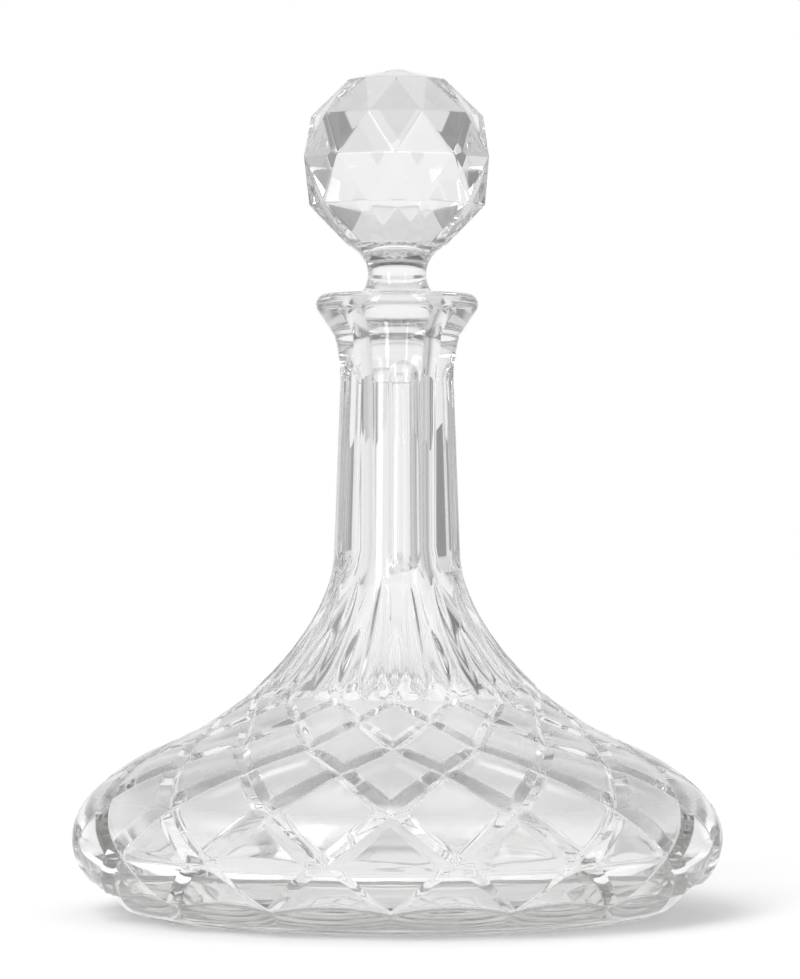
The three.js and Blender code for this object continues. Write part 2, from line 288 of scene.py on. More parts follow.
@dataclass(frozen=True)
class GlassFinish:
    """Clear glass: a smooth refracting skin with faint waves, and a slight tint in its depth.

    Attributes:
        name: Name of the material.
        depth_strength: How strongly a path through the glass is coloured, for each metre.
        tint: Colour that the skin passes.
        refraction: Index of refraction.
        roughness: Least and most roughness, mixed by a soft cloud.
        matt: Roughness added where the piece is matt.
        cloud_detail: How finely the cloud is broken up.
        wave_detail: How finely the waves are.
        wave_scale: Waves in a metre.
        wave_height: Height of the waves in metres.
        depth_colour: Colour that a long path through the glass leaves.
    """

    name: str
    depth_strength: float
    tint: Colour = (1.0, 1.0, 1.0)
    refraction: float = 1.52
    roughness: Pair = (0.0, 0.02)
    matt: float = 0.3
    cloud_detail: float = 3.0
    wave_detail: float = 1.0
    wave_scale: float = 45.0
    wave_height: float = 0.00008
    depth_colour: Colour = (0.80, 0.802, 0.795)

    def material(self) -> bpy.types.Material:
        """Builds the material."""
        material = bpy.data.materials.new(self.name)
        nodes = ShaderNodes.of(material)
        place = nodes.add("TexCoord").outputs["Object"]
        cloud = nodes.add("TexNoise", Vector=place, Scale=self.wave_scale, Detail=self.cloud_detail)
        smear = nodes.add("MapRange", Value=cloud.outputs["Fac"], To_Min=self.roughness[0],
                          To_Max=self.roughness[1])
        share = nodes.add("Attribute")
        share.attribute_name = MATT
        rough = nodes.calculate("MULTIPLY_ADD", share.outputs["Fac"], self.matt, smear.outputs["Result"])
        wave = nodes.add("TexNoise", Vector=place, Scale=self.wave_scale, Detail=self.wave_detail)
        bump = nodes.add("Bump", Height=wave.outputs["Fac"], Distance=self.wave_height, Strength=1.0)
        skin = nodes.add("BsdfPrincipled", Base_Color=(*self.tint, 1.0), Roughness=rough,
                         Normal=bump.outputs["Normal"], Transmission_Weight=1.0, IOR=self.refraction)
        depth = nodes.add("VolumeAbsorption", Color=(*self.depth_colour, 1.0), Density=self.depth_strength)
        nodes.add("OutputMaterial", Surface=skin.outputs[0], Volume=depth.outputs[0])
        return material


@dataclass(frozen=True)
class FloorFinish:
    """Pale floor that looks white away from the object and keeps its shadow; in the glass it has a painted
    glow near the vessel and painted shade far off.

    Attributes:
        name: Name of the material.
        colour: Share of the light that the floor throws back.
        glow: Brightness added for what the camera sees straight.
        glass_glow: Brightness added for what is seen in the glass, by the distance from the axis in metres.
        far: Distances from the axis in metres over which painted shade comes in on the floor seen in the
            glass.
        shade_by_bearing: Share of the far floor's light that the painted shade leaves, by the bearing in
            degrees.
    """

    name: str = "pale_floor"
    colour: float = 0.6
    glow: float = 0.32
    glass_glow: Stops = (
        (0.0, 0.62), (0.05, 0.62), (0.07, 0.68), (0.09, 0.72), (0.11, 0.5), (0.15, 0.2), (0.22, 0.02),
        (0.8, 0.02), (1.2, 0.12))
    far: Pair = (0.6, 1.0)
    shade_by_bearing: Stops = (
        (-180.0, 0.65), (-120.0, 0.65), (-85.0, 0.9), (-52.0, 0.7), (-42.0, 0.35), (-30.0, 0.35),
        (-22.0, 1.0), (18.0, 1.0), (24.0, 0.5), (36.0, 0.35), (46.0, 0.7), (80.0, 0.9), (120.0, 0.65),
        (180.0, 0.65))

    def material(self) -> bpy.types.Material:
        """Builds the material."""
        material = bpy.data.materials.new(self.name)
        nodes = ShaderNodes.of(material)
        place = nodes.add("TexCoord").outputs["Object"]
        away = nodes.add("VectorMath", n0=place)
        away.operation = "LENGTH"
        # Painted shade: in the glass, the far floor's glow and colour are darkened by bearing.
        painted_shade = nodes.calculate("SUBTRACT", 1.0, nodes.ramp(nodes.bearing(place), self.shade_by_bearing))
        beyond = nodes.ramp(away.outputs["Value"], ((self.far[0], 0.0), (self.far[1], 1.0)))
        left_unshaded = nodes.calculate("SUBTRACT", 1.0, nodes.calculate("MULTIPLY", painted_shade, beyond))
        straight = nodes.any_ray(RayKind.CAMERA)
        in_glass = nodes.any_ray(RayKind.GLOSSY, RayKind.TRANSMISSION)
        kept = nodes.calculate("MULTIPLY_ADD", in_glass, nodes.calculate("SUBTRACT", left_unshaded, 1.0), 1.0)
        matt = nodes.add("BsdfDiffuse", Color=nodes.calculate("MULTIPLY", kept, self.colour))
        # Painted light: a glow by distance from the axis, brightest under and round the vessel, seen only
        # in the glass.
        lit = nodes.calculate("MULTIPLY", nodes.ramp(away.outputs["Value"], self.glass_glow), left_unshaded)
        lit_in_glass = nodes.calculate("MULTIPLY", in_glass, lit)
        strength = nodes.calculate("MULTIPLY_ADD", straight, self.glow, lit_in_glass)
        glow = nodes.add("Emission", Strength=strength)
        both = nodes.add("AddShader", n0=matt.outputs[0], n1=glow.outputs[0])
        nodes.add("OutputMaterial", Surface=both.outputs[0])
        return material


# Pieces


def add_to_scene(name: str, data: bpy.types.ID) -> bpy.types.Object:
    """Makes an object of a mesh, lamp or camera and adds it to the scene."""
    item = bpy.data.objects.new(name, data)
    bpy.context.scene.collection.objects.link(item)
    return item


@dataclass
class GlassPiece:
    """A glass piece that stands for one CAD node and rides on its body.

    Attributes:
        name: Name of the piece.
        node: CAD node that it replaces, which is also the name of its body.
        slot: Material slot of the record; not used.
        finish: Its glass.
        shading: How its edges are shaded.
    """

    name: str
    node: str
    slot: str
    finish: GlassFinish
    shading: Shading

    def surface(self) -> TurnedGrid:
        """Works out the closed surface of the piece; each kind of piece has its own."""
        raise NotImplementedError

    def build(self) -> bpy.types.Object:
        """Makes the piece, dresses it and ties it to the frame."""
        piece = add_to_scene(self.name, self.surface().mesh(self.name, self.shading))
        piece.data.materials.append(self.finish.material())
        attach(piece, self.node)
        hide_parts(self.node)
        return piece


@dataclass
class Mouth:
    """Ground seat and mouth that the stopper's plug fits, in millimetres.

    Attributes:
        height: Height of the lip's top.
        bore: Radius of the neck's bore, and of the seat at its bottom.
        seat_flare: How much wider the seat is at its top.
        mouth_flare: How much wider the mouth is than the seat's top.
        edge: Rounding of the mouth's edge.
        depth: Depth of the seat's top below the lip.
        plug_depth: Depth of the plug's end below the lip.
    """

    height: float
    bore: float = 8.0
    seat_flare: float = 1.05
    mouth_flare: float = 2.75
    edge: float = 1.0
    depth: float = 13.0
    plug_depth: float = 28.0

    @property
    def seat_bottom(self) -> Pair:
        """Bottom of the seat, level with the end of the plug."""
        return self.bore, self.height - self.plug_depth

    @property
    def seat_top(self) -> Pair:
        """Top of the seat."""
        return self.bore + self.seat_flare, self.height - self.depth

    @property
    def rim(self) -> Pair:
        """Top of the funnel, below the rounded edge."""
        return self.seat_top[0] + self.mouth_flare, self.height - self.edge

    def funnel(self, clearance: float, steps: int) -> Array:
        """Quadratic curve straight up from the seat and out to the rim, a clearance inside the glass."""
        seat, rim = self.seat_top, self.rim
        control = [seat, (seat[0], (seat[1] + rim[1]) / 2), rim]
        return bend(control, steps) - np.array([clearance, 0.0])


@dataclass(frozen=True)
class Petal:
    """One kind of petal flute on the shoulder, by its heights in millimetres.

    Attributes:
        foot: Height of its lower point.
        lower: Height from which it has its full width.
        upper: Height up to which it has it.
        tip: Height of its upper point.
    """

    foot: float
    lower: float
    upper: float
    tip: float

    def openness(self, height: Array) -> Array:
        """Share of the full width: one minus the square of the way from the widest part to a point."""
        below = (self.lower - height) / (self.lower - self.foot)
        above = (height - self.upper) / (self.tip - self.upper)
        past = np.maximum(0.0, np.maximum(below, above))
        return np.maximum(0.0, 1.0 - past**2)

    def line_spread(self, height: Array) -> Array:
        """Share of the full width that the grid's lines fan over: the petal's, but wide past its points."""
        least, reach = 0.5, 5.0
        past = np.maximum(self.foot - height, height - self.tip) / reach
        again = least + (1.0 - least) * np.clip(past, 0.0, 1.0)
        return np.maximum(self.openness(height), again)


@dataclass
class Vessel(GlassPiece):
    """The decanter's body, neck and lip: one turned glass wall with its cuts pressed into it.

    Sizes are in millimetres and degrees, and half widths of cuts in columns. They are those of the CAD
    solid, apart from crisper and deeper cuts. Lines, rings and steps say how fine the grid is.
    """

    mouth: Mouth
    foot_radius: float = 79.5
    foot_height: float = 1.4
    foot_ring: float = 12.0
    foot_edge: float = 0.4
    ledge_rise: float = 0.4
    punt_rise: float = 4.0
    body_radius: float = 100.6
    belly_height: float = 23.5
    heel_width: float = 22.6
    heel_clearance: float = 1.0
    shoulder: Pair = (65.0, 54.9)
    shoulder_angle: float = 24.2
    belly_pull: float = 14.0
    shoulder_pull: float = 22.0
    neck_pull: float = 22.0
    neck_base: Pair = (19.5, 112.0)
    neck_radius: float = 17.6
    neck_top_drop: float = 27.0
    collar_radius: float = 19.4
    collar_drop: float = 13.0
    lip_radius: float = 25.1
    lip_round: float = 3.4
    lip_undercut: float = 45.0
    lip_lead: float = 1.0
    belly_wall: float = 7.0
    shoulder_wall: float = 6.0
    floor_thickness: float = 8.0
    columns: int = 16
    lattice_bottom: float = 5.2
    row_rises: tuple[float, ...] = (15.8, 16.6, 11.0, 6.4, 6.8, 5.0)
    groove_half_width: float = 0.13
    groove_depth: float = 2.0
    pad_crown: float = 0.6
    matt_heights: Pair = (26.0, 38.0)
    matt_edge: float = 0.1
    heel_facet_depth: float = 2.4
    groove_runout: float = 2.5
    petal_depth: float = 2.0
    petal_half_width: float = 0.22
    short_petal: Petal = Petal(70.0, 79.0, 79.0, 88.5)
    long_petal: Petal = Petal(67.5, 77.0, 90.0, 104.0)
    flutes: int = 6
    flute_width: float = 30.0
    flute_depth: float = 1.5
    flute_turn: float = 7.5
    flute_runout: float = 7.0
    flute_arch: float = 6.0
    groove_lines: tuple[float, ...] = (0.12, 0.55, 1.0, 1.1)
    pad_lines: int = 6
    ledge_rings: int = 6
    petal_rings: int = 31
    arch_rings: int = 8
    neck_rings: int = 3
    collar_rings: int = 4
    recess_steps: int = 14
    foot_edge_steps: int = 3
    lip_steps: int = 3
    roll_steps: int = 13
    mouth_steps: int = 5
    funnel_steps: int = 7
    inside_steps: int = 11
    floor_steps: int = 12

    @property
    def neck_top(self) -> float:
        """Height where the straight neck ends and the collar begins to flare."""
        return self.mouth.height - self.neck_top_drop

    @property
    def collar(self) -> Pair:
        """Crease between the collar and the underside of the lip."""
        return self.collar_radius, self.mouth.height - self.collar_drop

    @property
    def lip_centre(self) -> Pair:
        """Centre of the lip's roll."""
        return self.lip_radius - self.lip_round, self.mouth.height - self.lip_round

    @property
    def row_heights(self) -> Array:
        """Heights of the rows of crossings, from the lowest."""
        return self.lattice_bottom + np.concatenate([[0.0], np.cumsum(self.row_rises)])

    @property
    def slope(self) -> Array:
        """Direction of the side at the shoulder, up and inwards."""
        angle = math.radians(self.shoulder_angle)
        return np.array([-math.cos(angle), math.sin(angle)])

    def body_curves(self, belly: Pair, shoulder: Array, base: Pair, steps: int) -> Array:
        """Belly and shoulder: two cubic curves that meet at the shoulder on one slope.

        Args:
            belly: Widest point, where the curve starts upright.
            shoulder: Point where the curves meet.
            base: Foot of the neck, where the curve ends upright.
            steps: Number of points on each curve.

        Returns:
            Points of shape (2 * steps, 2), without the first.
        """
        pull = self.shoulder_pull * self.slope
        lower = [belly, (belly[0], belly[1] + self.belly_pull), tuple(shoulder - pull), tuple(shoulder)]
        upper = [tuple(shoulder), tuple(shoulder + pull), (base[0], base[1] - self.neck_pull), base]
        return np.concatenate([bend(lower, steps), bend(upper, steps)])

    def side(self) -> Array:
        """Fine outer profile from the top of the foot's ledge to the top of the lip, climbing all the way.

        Returns:
            Points of shape (n, 2).
        """
        fine = 400
        heel_depth = self.belly_height - self.heel_clearance
        rise = self.belly_height - self.foot_height - self.ledge_rise
        start = -math.degrees(math.asin(rise / heel_depth))
        heel_centre = (self.body_radius - self.heel_width, self.belly_height)
        belly = (self.body_radius, self.belly_height)
        collar = self.collar
        neck_top = (self.neck_radius, self.neck_top)
        lip = arc(self.lip_centre, (self.lip_round, self.lip_round), -self.lip_undercut, 90.0, fine)
        return np.concatenate([
            arc(heel_centre, (self.heel_width, heel_depth), start, 0.0, fine),
            self.body_curves(belly, np.array(self.shoulder), self.neck_base, fine),
            line(self.neck_base, neck_top, fine),
            bend([neck_top, (self.neck_radius, (self.neck_top + collar[1]) / 2), collar], fine),
            line(collar, tuple(lip[0]), fine),
            lip[1:],
        ])

    def row_height(self, row: Array) -> Array:
        """Height of a row, whole or not, counted from the lowest crossings.

        Between two rows it is a cubic whose slope at each is half the rise across its neighbours.
        """
        heights = self.row_heights
        padded = np.concatenate([heights[:1], heights, heights[-1:]])
        slopes = (padded[2:] - padded[:-2]) / 2
        low = np.clip(row.astype(int), 0, len(heights) - 2)
        t = row - low
        a, b = heights[low], heights[low + 1]
        va, vb = slopes[low], slopes[low + 1]
        return (2 * a - 2 * b + va + vb) * t**3 + (3 * b - 3 * a - 2 * va - vb) * t**2 + va * t + a

    def offsets(self) -> Array:
        """Places of the grid's lines within a column: close together at a groove, then wide apart."""
        groove = self.groove_half_width * np.array(self.groove_lines)
        pad = np.linspace(groove[-1], 0.5, self.pad_lines + 2)[1:-1]
        side = np.concatenate([groove, pad])
        return np.concatenate([[0.0], side, [0.5], 1.0 - np.flip(side)])

    def petal_columns(self, height: Array) -> Array:
        """Columns of the grid's lines above the lattice, which follow the petals.

        Within half a column the first lines fan out from the middle of the short petal to its edge,
        and the others from the edge of the long petal to its middle.

        Args:
            height: Heights of the rings.

        Returns:
            Columns of shape (rings, grid columns).
        """
        lines = self.offsets().size
        half = lines // 2
        inner = (half - 1) // 2
        step = np.arange(half + 1)
        short = self.petal_half_width * self.short_petal.line_spread(height)[:, None]
        long = self.petal_half_width * self.long_petal.line_spread(height)[:, None]
        offset = np.where(step <= inner, step / inner * short, 0.5 - (half - step) / inner * long)
        offset = np.concatenate([offset, 1.0 - np.flip(offset[:, 1:-1], axis=1)], axis=1)
        return np.repeat(np.arange(self.columns), lines) + np.tile(offset, self.columns)

    def grid(self) -> tuple[Array, Array, Array]:
        """Column, lattice row and height of every grid point on the outer side.

        In the lattice the grid is sheared: step i along and step d up stand where line i of the
        rising grooves meets line i - d of the falling ones, so that all grooves follow the grid.
        Column is half the sum of the two lines and row their difference. Below the lattice the
        grid's columns go straight up, and above it they follow the petals.

        Returns:
            Columns, rows and heights, each of shape (rings, grid columns).
        """
        offsets = self.offsets()
        rows = len(self.row_rises)
        along = np.arange(self.columns * offsets.size)
        up = np.arange(rows * offsets.size + 1)[:, None]
        first = along // offsets.size + offsets[along % offsets.size] + 0.0 * up
        second = (along - up) // offsets.size + offsets[(along - up) % offsets.size]
        column, row = (first + second) / 2, first - second
        base, top = self.neck_base[1], self.neck_top
        ledge = self.foot_height + self.ledge_rise
        below = np.linspace(ledge, self.lattice_bottom, self.ledge_rings + 1)[:-1]
        above = np.concatenate([
            np.linspace(self.row_heights[-1], self.long_petal.tip, self.petal_rings + 1)[1:],
            np.flip(round_end(base, base - self.flute_runout, self.arch_rings)),
            np.linspace(base, top, self.neck_rings),
            round_end(top, top + self.flute_arch, self.arch_rings),
            np.linspace(top + self.flute_arch, self.collar[1], self.collar_rings + 1)[1:],
        ])
        ones = np.ones_like(column[:1])
        upper = self.petal_columns(above) - rows / 2
        return (
            np.concatenate([below[:, None] * 0.0 + column[:1], column, upper]),
            np.concatenate([below[:, None] * 0.0 * ones, row, above[:, None] * 0.0 + rows * ones]),
            np.concatenate([below[:, None] * ones, self.row_height(row), above[:, None] * ones]),
        )

    def from_groove(self, column: Array, row: Array) -> Array:
        """Distance from the nearest groove, in its half widths.

        A groove of either family lies where column plus or minus half the row is whole.
        """
        away = np.minimum(away_from_whole(column + row / 2), away_from_whole(column - row / 2))
        return away / self.groove_half_width

    def lattice_cut(self, column: Array, row: Array, height: Array) -> Array:
        """Depth of the diamond lattice at full radius, with the facets of the heel below it.

        A groove is a V, and the pad beside it swells to its middle as the product of two sines.
        Above the lattice both run out. Below the lowest zigzag of grooves the wall stays as deep as
        the groove, and a facet between two tips is hollowed as a parabola, which makes it flat.

        Args:
            column: Columns round the axis.
            row: Rows up the side.
            height: Heights.

        Returns:
            Depths.
        """
        groove = np.maximum(0.0, 1.0 - self.from_groove(column, row))
        swell = np.abs(np.sin(np.pi * (column + row / 2)) * np.sin(np.pi * (column - row / 2)))
        pads = self.groove_depth * groove + self.pad_crown * (1.0 - swell)
        middle = away_from_whole(column + 0.5)
        heel = middle <= (1.0 - row) / 2
        ledge = self.foot_height + self.ledge_rise
        fade_down = np.clip((height - ledge) / (self.lattice_bottom - ledge), 0.0, 1.0)
        fade_up = np.clip(1.0 - (height - self.row_heights[-1]) / self.groove_runout, 0.0, 1.0)
        held = self.groove_depth + self.pad_crown
        facet = self.heel_facet_depth * np.maximum(0.0, (1.0 - row) ** 2 - 4.0 * middle**2)
        return np.where(heel, (held + facet) * fade_down, pads * fade_up)

    def matt_share(self, column: Array, row: Array, height: Array) -> Array:
        """Share of the matt finish: whole on the pads from above the belly to the top of the lattice."""
        pad = np.clip((self.from_groove(column, row) - 1.0) / self.matt_edge, 0.0, 1.0)
        low, high = self.matt_heights
        climb = np.clip((height - low) / (high - low), 0.0, 1.0)
        return np.where(height <= self.row_heights[-1], pad * climb, 0.0)

    def petal_cut(self, column: Array, height: Array) -> Array:
        """Depth of the petal flutes at the radius of the lattice's top.

        A short petal lies on each column and a long one between two. Each is hollowed as a parabola
        that is as much shallower as it is narrower, so that its edge is equally crisp all along.

        Args:
            column: Columns round the axis.
            height: Heights.

        Returns:
            Depths.
        """
        narrowest = 1e-6
        hollow = np.zeros_like(column)
        for petal, middle in ((self.short_petal, 0.0), (self.long_petal, 0.5)):
            half_width = np.maximum(narrowest, self.petal_half_width * petal.openness(height))
            offset = away_from_whole(column - middle)
            hollow += np.maximum(0.0, half_width - offset**2 / half_width)
        return self.petal_depth / self.petal_half_width * hollow

    def flute_cut(self, column: Array, height: Array) -> Array:
        """Depth of the neck's flutes: parabolas across the width, round at both ends."""
        below = (self.neck_base[1] - height) / self.flute_runout
        above = (height - self.neck_top) / self.flute_arch
        past = np.clip(np.maximum(below, above), 0.0, 1.0)
        pitch = 360.0 / self.flutes
        turn = column * 360.0 / self.columns - self.flute_turn
        offset = away_from_whole(turn / pitch) * pitch / (self.flute_width / 2)
        return self.flute_depth * np.maximum(0.0, 1.0 - past**2 - offset**2)

    def underside(self) -> Array:
        """Profile under the vessel: the domed recess, the standing ring and the foot up to its ledge."""
        inner = self.foot_radius - self.foot_ring
        edge = self.foot_edge
        return np.concatenate([
            [[0.0, self.punt_rise]],
            bend([(0.0, self.punt_rise), (inner / 2, self.punt_rise), (inner, 0.0)], self.recess_steps),
            line((inner, 0.0), (self.foot_radius - edge, 0.0)),
            arc((self.foot_radius - edge, edge), (edge, edge), -90.0, 0.0, self.foot_edge_steps),
            line((self.foot_radius, edge), (self.foot_radius, self.foot_height)),
        ])

    def lip(self) -> Array:
        """Profile of the rolled lip from the crease to the mouth's rounded edge, over the top."""
        start = -self.lip_undercut - self.lip_lead
        roll = arc(self.lip_centre, (self.lip_round, self.lip_round), start, 90.0, self.roll_steps)
        rim = self.mouth.rim
        edge = self.mouth.edge
        inner = (rim[0] + edge, rim[1])
        return np.concatenate([
            line(self.collar, tuple(roll[0]), self.lip_steps),
            roll[1:],
            line(tuple(roll[-1]), (inner[0], self.mouth.height), self.lip_steps),
            arc(inner, (edge, edge), 90.0, 180.0, self.mouth_steps),
        ])

    def hollow(self) -> Array:
        """Profile of the inside, from the mouth's edge down the funnel, seat and bore to the floor."""
        inward = np.array([-self.slope[1], self.slope[0]])
        shoulder = np.array(self.shoulder) + self.shoulder_wall * inward
        radius = self.body_radius - self.belly_wall
        floor = self.punt_rise + self.floor_thickness
        belly = (radius, self.belly_height)
        neck = (self.mouth.bore, self.neck_base[1])
        heel = [(0.0, floor), (radius - self.heel_width, floor), (radius, floor), belly]
        upwards = np.concatenate([
            [[0.0, floor]],
            bend(heel, self.floor_steps),
            self.body_curves(belly, shoulder, neck, self.inside_steps),
            line(neck, self.mouth.seat_bottom),
            line(self.mouth.seat_bottom, self.mouth.seat_top),
            self.mouth.funnel(0.0, self.funnel_steps)[:-1],
        ])
        return np.flip(upwards, axis=0)

    def surface(self) -> TurnedGrid:
        """Whole wall as one grid: underside, cut side, lip and hollow, each ring turned round the axis.

        On the side each point sits below the smooth profile by the sum of the cuts, along the
        profile's own normal, with lattice and petals shallower as the body narrows.

        Returns:
            The closed grid.
        """
        fine = self.side()
        tangent = np.gradient(fine, axis=0)
        tangent /= np.linalg.norm(tangent, axis=1, keepdims=True)
        column, row, height = self.grid()
        radius = np.interp(height, fine[:, 1], fine[:, 0])
        outward = np.interp(height, fine[:, 1], tangent[:, 1])
        upward = -np.interp(height, fine[:, 1], tangent[:, 0])
        top_radius = np.interp(self.row_heights[-1], fine[:, 1], fine[:, 0])
        cut = (self.lattice_cut(column, row, height) * radius / self.body_radius
               + self.petal_cut(column, height) * radius / top_radius
               + self.flute_cut(column, height))
        turn = column * 2 * np.pi / self.columns
        below = self.underside()
        over = np.concatenate([self.lip(), self.hollow()])
        points = np.concatenate([
            turn_round(below[:, :1], below[:, 1:], turn[:1]),
            turn_round(radius - cut * outward, height - cut * upward, turn),
            turn_round(over[:, :1], over[:, 1:], turn[-1:]),
        ])
        matt = np.pad(self.matt_share(column, row, height), ((len(below), len(over)), (0, 0)))
        return TurnedGrid(points, matt)


@dataclass
class Stopper(GlassPiece):
    """The stopper: a ground plug, a waist and a ball cut in belts of triangular facets.

    Sizes are in millimetres, as on the CAD solid that it stands for. Steps and shares say how fine the
    grid is.
    """

    mouth: Mouth
    clearance: float = 0.3
    plug_chamfer: float = 0.8
    waist_radius: float = 9.1
    waist_rise: float = 6.0
    fillet_pull: float = 5.0
    flare_radius: float = 20.0
    flare_rise: float = 17.0
    flare_reach: float = 7.5
    flare_drop: float = 2.5
    sides: int = 10
    base_rise: float = 12.0
    ring_radii: tuple[float, ...] = (13.1, 27.2, 30.0, 26.6, 15.6)
    ring_rises: tuple[float, ...] = (15.3, 14.5, 13.2, 11.0)
    table_radius: float = 2.0
    table_rise: float = 3.3
    edge_sharpness: float = 500.0
    flare_blur: float = 0.12
    plug_steps: int = 3
    chamfer_steps: int = 4
    funnel_steps: int = 8
    collar_steps: int = 10
    flare_steps: int = 30
    edge_shares: tuple[float, ...] = (0.0, 0.012, 0.03, 0.06, 0.12)
    middle_shares: Pair = (0.2, 0.8)
    middle_steps: int = 7
    scallop_climb: float = 0.4
    scallop_steps: int = 32

    @property
    def ring_heights(self) -> Array:
        """Heights of the rings of corners, from the ball's base to its crown."""
        base = self.mouth.height + self.base_rise
        return base + np.concatenate([[0.0], np.cumsum(self.ring_rises)])

    def corners(self, ring: int) -> Array:
        """Corners of a ring, counted from the base; each ring is half a side on from the one below it."""
        turn = 2 * np.pi * (np.arange(self.sides) + 0.5 * (ring % 2)) / self.sides
        return turn_round(self.ring_radii[ring], self.ring_heights[ring], turn)

    def belt_corners(self, ring: int) -> tuple[Array, Array, Array]:
        """Corners of a ring, and those of the next ring before and after each of them."""
        before = np.roll(self.corners(ring + 1), 1 - ring % 2, axis=0)
        return self.corners(ring), before, np.roll(before, -1, axis=0)

    def table(self) -> Array:
        """Corners of the small flat on top, in line with the crown's."""
        turn = 2 * np.pi * np.arange(self.sides) / self.sides
        return turn_round(self.table_radius, self.ring_heights[-1] + self.table_rise, turn)

    def spacing(self) -> Array:
        """Shares of the way across a facet, crowded near its edges so that they can be rounded."""
        edge = np.array(self.edge_shares)
        middle = np.linspace(*self.middle_shares, self.middle_steps)
        return np.concatenate([edge, middle, 1.0 - np.flip(edge)])

    def belt(self, ring: int, climb: Array) -> Array:
        """A belt of triangles between two rings, on a grid whose columns follow the facets' edges.

        Each level is a polygon of twice as many sides: its corners divide the slanting edges in the
        ratio of the climb, so that one triangle narrows to a point as its neighbour opens.

        Args:
            ring: Number of the lower ring.
            climb: Shares of the way up.

        Returns:
            Places of shape (levels, columns, 3).
        """
        low, before, after = self.belt_corners(ring)
        t = climb[:, None, None]
        left = low * (1 - t) + before * t
        right = low * (1 - t) + after * t
        beyond = np.roll(left, -1, axis=1)
        share = self.spacing()[:-1, None]
        opening = left[:, :, None] * (1 - share) + right[:, :, None] * share
        narrowing = right[:, :, None] * (1 - share) + beyond[:, :, None] * share
        pair = (opening, narrowing) if ring % 2 == 0 else (np.roll(narrowing, 1, axis=1), opening)
        return np.concatenate(pair, axis=2).reshape(len(climb), -1, 3)

    def planes(self) -> tuple[Array, Array]:
        """Planes of all facets, as outward normals and distances from the ball's middle.

        Returns:
            Normals of shape (facets, 3) and distances of shape (facets,).
        """
        facets = []
        for ring in range(len(self.ring_radii) - 1):
            low, before, after = self.belt_corners(ring)
            beyond = np.roll(low, -1, axis=0)
            facets.append(np.stack([low, after, before], axis=1))
            facets.append(np.stack([low, beyond, after], axis=1))
        crown, table = self.corners(len(self.ring_radii) - 1), self.table()
        facets.append(np.stack([crown, np.roll(crown, -1, axis=0), table], axis=1))
        facets.append(table[None, :3])
        corner = np.concatenate(facets)
        normal = np.cross(corner[:, 1] - corner[:, 0], corner[:, 2] - corner[:, 0])
        normal /= np.linalg.norm(normal, axis=1, keepdims=True)
        distance = np.sum(normal * (corner[:, 0] - self.middle()), axis=1)
        outward = np.sign(distance)
        return normal * outward[:, None], distance * outward

    def middle(self) -> Array:
        """Middle of the ball, level with its widest ring of corners."""
        return np.array([0.0, 0.0, self.ring_heights[np.argmax(self.ring_radii)]])

    def round_edges(self, places: Array) -> Array:
        """Draws places in towards the middle near the facets' edges, so that these are rounded.

        The reach of a place is the high-power mean of its shares of the distance to each plane; the
        place is divided by it, which leaves a facet flat and takes a little off where planes meet.
        """
        normal, distance = self.planes()
        out = places - self.middle()
        share = np.maximum(0.0, out @ (normal / distance[:, None]).T)
        reach = np.sum(share**self.edge_sharpness, axis=-1) ** (1 / self.edge_sharpness)
        return self.middle() + out / np.maximum(reach, 1.0)[..., None]

    def stem(self) -> Array:
        """Turned profile of the plug, collar and waist, and of the flare that the ball's base cuts."""
        mouth = self.mouth
        end, seat = mouth.seat_bottom, mouth.seat_top
        plug = (end[0] - self.clearance, end[1])
        waist = (self.waist_radius, mouth.height + self.waist_rise)
        rim = (mouth.rim[0] - self.clearance, mouth.rim[1])
        flare = (self.flare_radius, mouth.height + self.flare_rise)
        chamfer = self.plug_chamfer
        return np.concatenate([
            [[0.0, plug[1]]],
            line((0.0, plug[1]), (plug[0] - chamfer, plug[1]), self.plug_steps),
            arc((plug[0] - chamfer, plug[1] + chamfer), (chamfer, chamfer), -90.0, 0.0, self.chamfer_steps),
            line((plug[0], plug[1] + chamfer), (seat[0] - self.clearance, seat[1]), self.plug_steps),
            mouth.funnel(self.clearance, self.funnel_steps),
            bend([rim, ((rim[0] + waist[0]) / 2, mouth.height + self.waist_rise / 4),
                  (waist[0], mouth.height + self.waist_rise / 2), waist], self.collar_steps),
            bend([waist, (waist[0], waist[1] + self.fillet_pull),
                  (flare[0] - self.flare_reach, flare[1] - self.flare_drop), flare], self.flare_steps),
        ])

